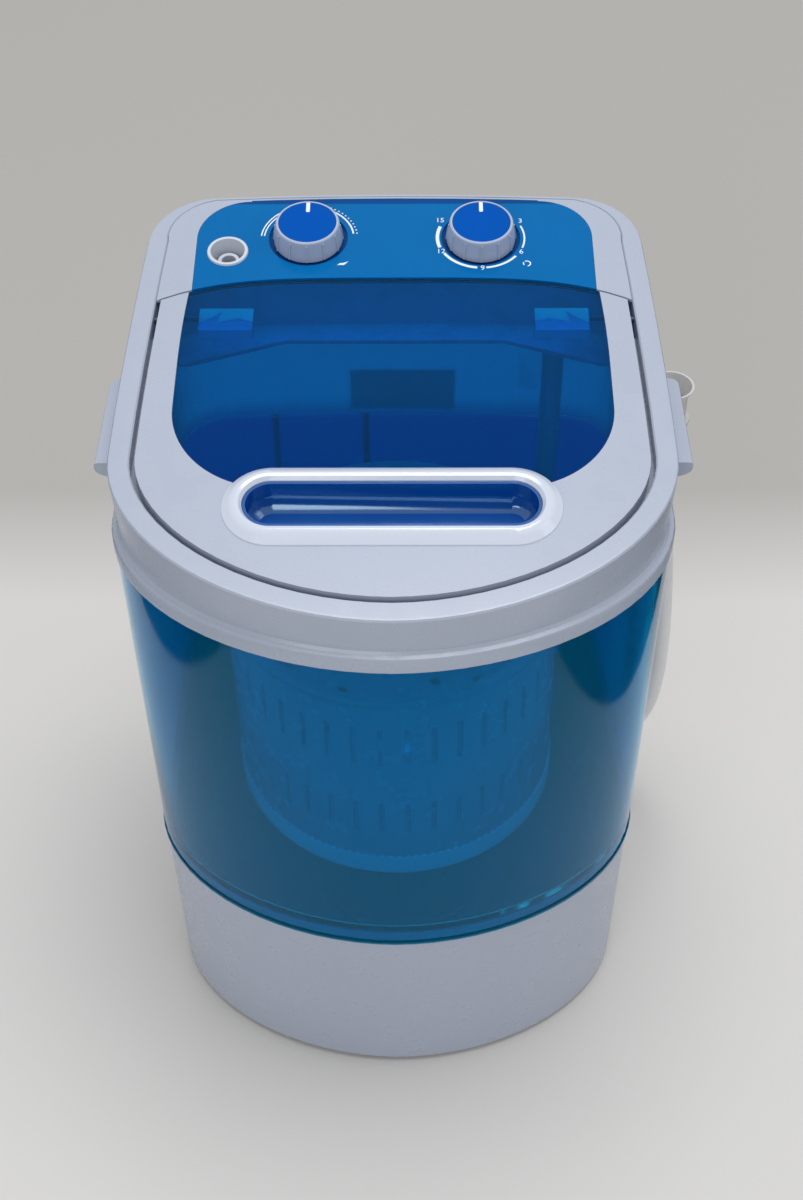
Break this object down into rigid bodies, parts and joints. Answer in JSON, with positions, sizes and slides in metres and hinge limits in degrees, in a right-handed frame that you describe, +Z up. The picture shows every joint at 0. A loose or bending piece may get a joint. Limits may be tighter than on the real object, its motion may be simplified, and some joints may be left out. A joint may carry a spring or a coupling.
{
  "type": "top load washing machine",
  "caption": "Small portable top-load washing machine: translucent blue tub on a white motor base, hinged see-through lid, two knobs and a side drain hose.",
  "frame": {"origin": "on the floor under the middle of the machine's bounding box", "axes": "+Z up, front faces -Y, +X to the right seen from the front"},
  "size_m": [0.4134, 0.3726, 0.567],
  "materials": {
    "white_plastic": "gloss",
    "clear_blue": "clear gloss",
    "solid_blue": "gloss",
    "pale_blue": "gloss",
    "grey_plastic": "matte",
    "ivory_plastic": "matte",
    "hose_plastic": "semi-matte",
    "black_rubber": "matte",
    "steel": "brushed",
    "painted_steel": "satin",
    "aluminium": "satin"
  },
  "bodies": {
    "housing": {"base_housing": "white_plastic", "bottom_cover": "white_plastic", "rubber_feet": "black_rubber", "cover_screws": "steel", "tub_shell": "clear_blue", "top_deck": "white_plastic", "carry_handle_left": "white_plastic", "carry_handle_right": "white_plastic", "console_surround": "white_plastic", "control_panel": "clear_blue", "water_inlet": "white_plastic", "inlet_duct": "white_plastic", "timer_unit": "grey_plastic", "program_switch": "ivory_plastic", "bearing_housing": "aluminium", "ball_bearings": "steel", "shaft_seal": "black_rubber", "drive_belt": "black_rubber", "motor": "painted_steel", "mount_plate": "steel", "spacer_posts": "steel", "plate_bolts": "steel", "capacitor": "aluminium", "drain_strainer": "white_plastic", "drain_pipe": "black_rubber", "drain_outlet": "white_plastic", "hose_clip": "white_plastic", "drain_hose": "hose_plastic", "hose_cuff": "hose_plastic", "wiring_conduit": "white_plastic", "cord_gland": "black_rubber"},
    "lid": {"lid_frame": "white_plastic", "lid_window": "clear_blue", "handle_bezel": "white_plastic", "handle_cup": "clear_blue", "hinge_block_left": "clear_blue", "hinge_block_right": "clear_blue", "hinge_pins": "steel"},
    "timer": {"timer_knob": "white_plastic", "timer_knob_insert": "solid_blue", "timer_shaft": "steel"},
    "program": {"program_knob": "white_plastic", "program_knob_insert": "solid_blue", "program_shaft": "steel"},
    "drive": {"pulsator": "solid_blue", "spin_basket": "pale_blue", "drive_shaft": "steel", "driven_pulley": "aluminium"},
    "rotor": {"rotor_shaft": "steel", "motor_pulley": "aluminium"}
  },
  "joints": [
    {"name": "lid_hinge", "type": "hinge", "parent": "housing", "child": "lid", "pos_m": [0, 0.0676, 0.53126], "axis": [-1, 0, 0], "range_deg": [0, 100]},
    {"name": "timer_turn", "type": "hinge", "parent": "housing", "child": "timer", "pos_m": [0.0596, 0.138, 0.54949], "axis": [0, 0.1564, -0.9877], "range_deg": [0, 300]},
    {"name": "program_turn", "type": "hinge", "parent": "housing", "child": "program", "pos_m": [-0.0596, 0.138, 0.54949], "axis": [0, 0.1564, -0.9877], "range_deg": [-60, 60]},
    {"name": "drive_spin", "type": "hinge", "parent": "housing", "child": "drive", "pos_m": [0, -0.012, 0.2], "axis": [0, 0, 1], "continuous": true},
    {"name": "motor_spin", "type": "hinge", "parent": "housing", "child": "rotor", "pos_m": [0, 0.106, 0.1], "axis": [0, 0, 1], "continuous": true}
  ],
  "couplings": [
    {"joint": "motor_spin", "follows": "drive_spin", "ratio": 3.6503}
  ]
}
